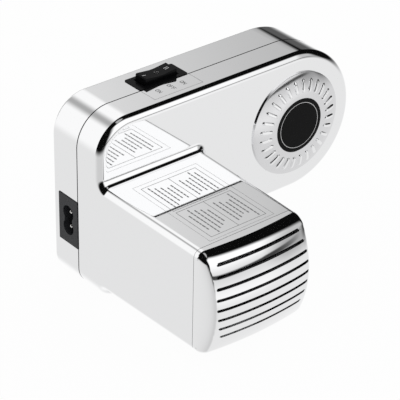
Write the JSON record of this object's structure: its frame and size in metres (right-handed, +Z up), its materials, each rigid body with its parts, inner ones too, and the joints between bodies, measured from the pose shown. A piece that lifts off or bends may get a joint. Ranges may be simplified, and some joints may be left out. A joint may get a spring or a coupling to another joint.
{
  "type": "motor drive unit for a pasta machine",
  "caption": "Chrome plated motor unit that drives a table-top pasta roller machine, with a domed badge, a rocker switch, a mains inlet and a bulged air grille.",
  "frame": {"origin": "where the output axis meets the flat back face of the casing", "axes": "+Y along the output axis, out of the back towards the machine that is driven; +X towards the casing's round end; +Z up"},
  "size_m": [0.1713, 0.1558, 0.1061],
  "materials": {
    "chrome_shell": "polished chrome plating",
    "black_gloss": "gloss",
    "black_matt": "fine matt",
    "rubber": "matt",
    "steel": "turned and ground",
    "zinc_plate": "stamped, zinc plated",
    "brass": "machined",
    "bronze": "sintered, oiled",
    "nylon": "moulded nylon",
    "bracket_alloy": "die cast",
    "lamination": "stacked sheet",
    "copper_wire": "enamelled",
    "fan_plastic": "moulded",
    "carbon": "pressed graphite",
    "red_plastic": "moulded"
  },
  "bodies": {
    "housing": {"rear_shell": "chrome_shell", "front_shell": "chrome_shell", "grille_cap": "chrome_shell", "badge_ring": "chrome_shell", "badge_disc": "black_gloss", "switch_frame": "black_gloss", "switch_terminals": "brass", "inlet_body": "black_gloss", "inlet_pins": "steel", "inlet_terminals": "brass", "gear_plate": "zinc_plate", "plate_screws": "steel", "drive_bracket": "bracket_alloy", "brush_bracket": "bracket_alloy", "bracket_screws": "steel", "motor_screws": "steel", "motor_bearings": "steel", "stator_core": "lamination", "field_coils": "copper_wire", "brush_holders": "brass", "carbon_brushes": "carbon", "gear_axles": "steel", "output_bushes": "bronze", "coupling_hub": "bracket_alloy", "hub_screws": "steel", "plunger_spring": "steel", "spring_retainer": "steel", "safety_switch": "black_matt", "case_screws": "steel", "rubber_feet": "rubber"},
    "rotor": {"motor_shaft": "steel", "armature_core": "lamination", "armature_winding": "copper_wire", "commutator": "copper_wire", "cooling_fan": "fan_plastic", "motor_pinion": "brass"},
    "first_gear": {"first_gear": "nylon"},
    "second_gear": {"second_gear": "steel"},
    "output": {"output_gear": "steel", "output_shaft": "steel", "retaining_ring": "steel"},
    "rocker": {"switch_rocker": "black_gloss"},
    "plunger": {"safety_plunger": "red_plastic"}
  },
  "joints": [
    {"name": "rotor_spin", "type": "hinge", "parent": "housing", "child": "rotor", "pos_m": [-0.09745, 0, -0.02345], "axis": [0, 1, 0], "continuous": true},
    {"name": "first_gear_spin", "type": "hinge", "parent": "housing", "child": "first_gear", "pos_m": [-0.07394, 0, -0.00668], "axis": [0, 1, 0], "continuous": true},
    {"name": "second_gear_spin", "type": "hinge", "parent": "housing", "child": "second_gear", "pos_m": [-0.04123, 0, 0.00288], "axis": [0, 1, 0], "continuous": true},
    {"name": "output_spin", "type": "hinge", "parent": "housing", "child": "output", "pos_m": [0, 0, 0], "axis": [0, 1, 0], "continuous": true},
    {"name": "switch_tilt", "type": "hinge", "parent": "housing", "child": "rocker", "pos_m": [-0.0744, -0.0138, 0.0386], "axis": [0, 1, 0], "range_deg": [-12, 12]},
    {"name": "plunger_slide", "type": "slide", "parent": "housing", "child": "plunger", "axis": [0, -1, 0], "range_m": [0, 0.0025], "stiffness_N_per_m": 250, "springref_m": -0.004, "deforming": ["plunger_spring"]}
  ],
  "couplings": [
    {"joint": "first_gear_spin", "follows": "rotor_spin", "ratio": -0.2},
    {"joint": "second_gear_spin", "follows": "rotor_spin", "ratio": 0.051852},
    {"joint": "output_spin", "follows": "rotor_spin", "ratio": -0.01396}
  ]
}
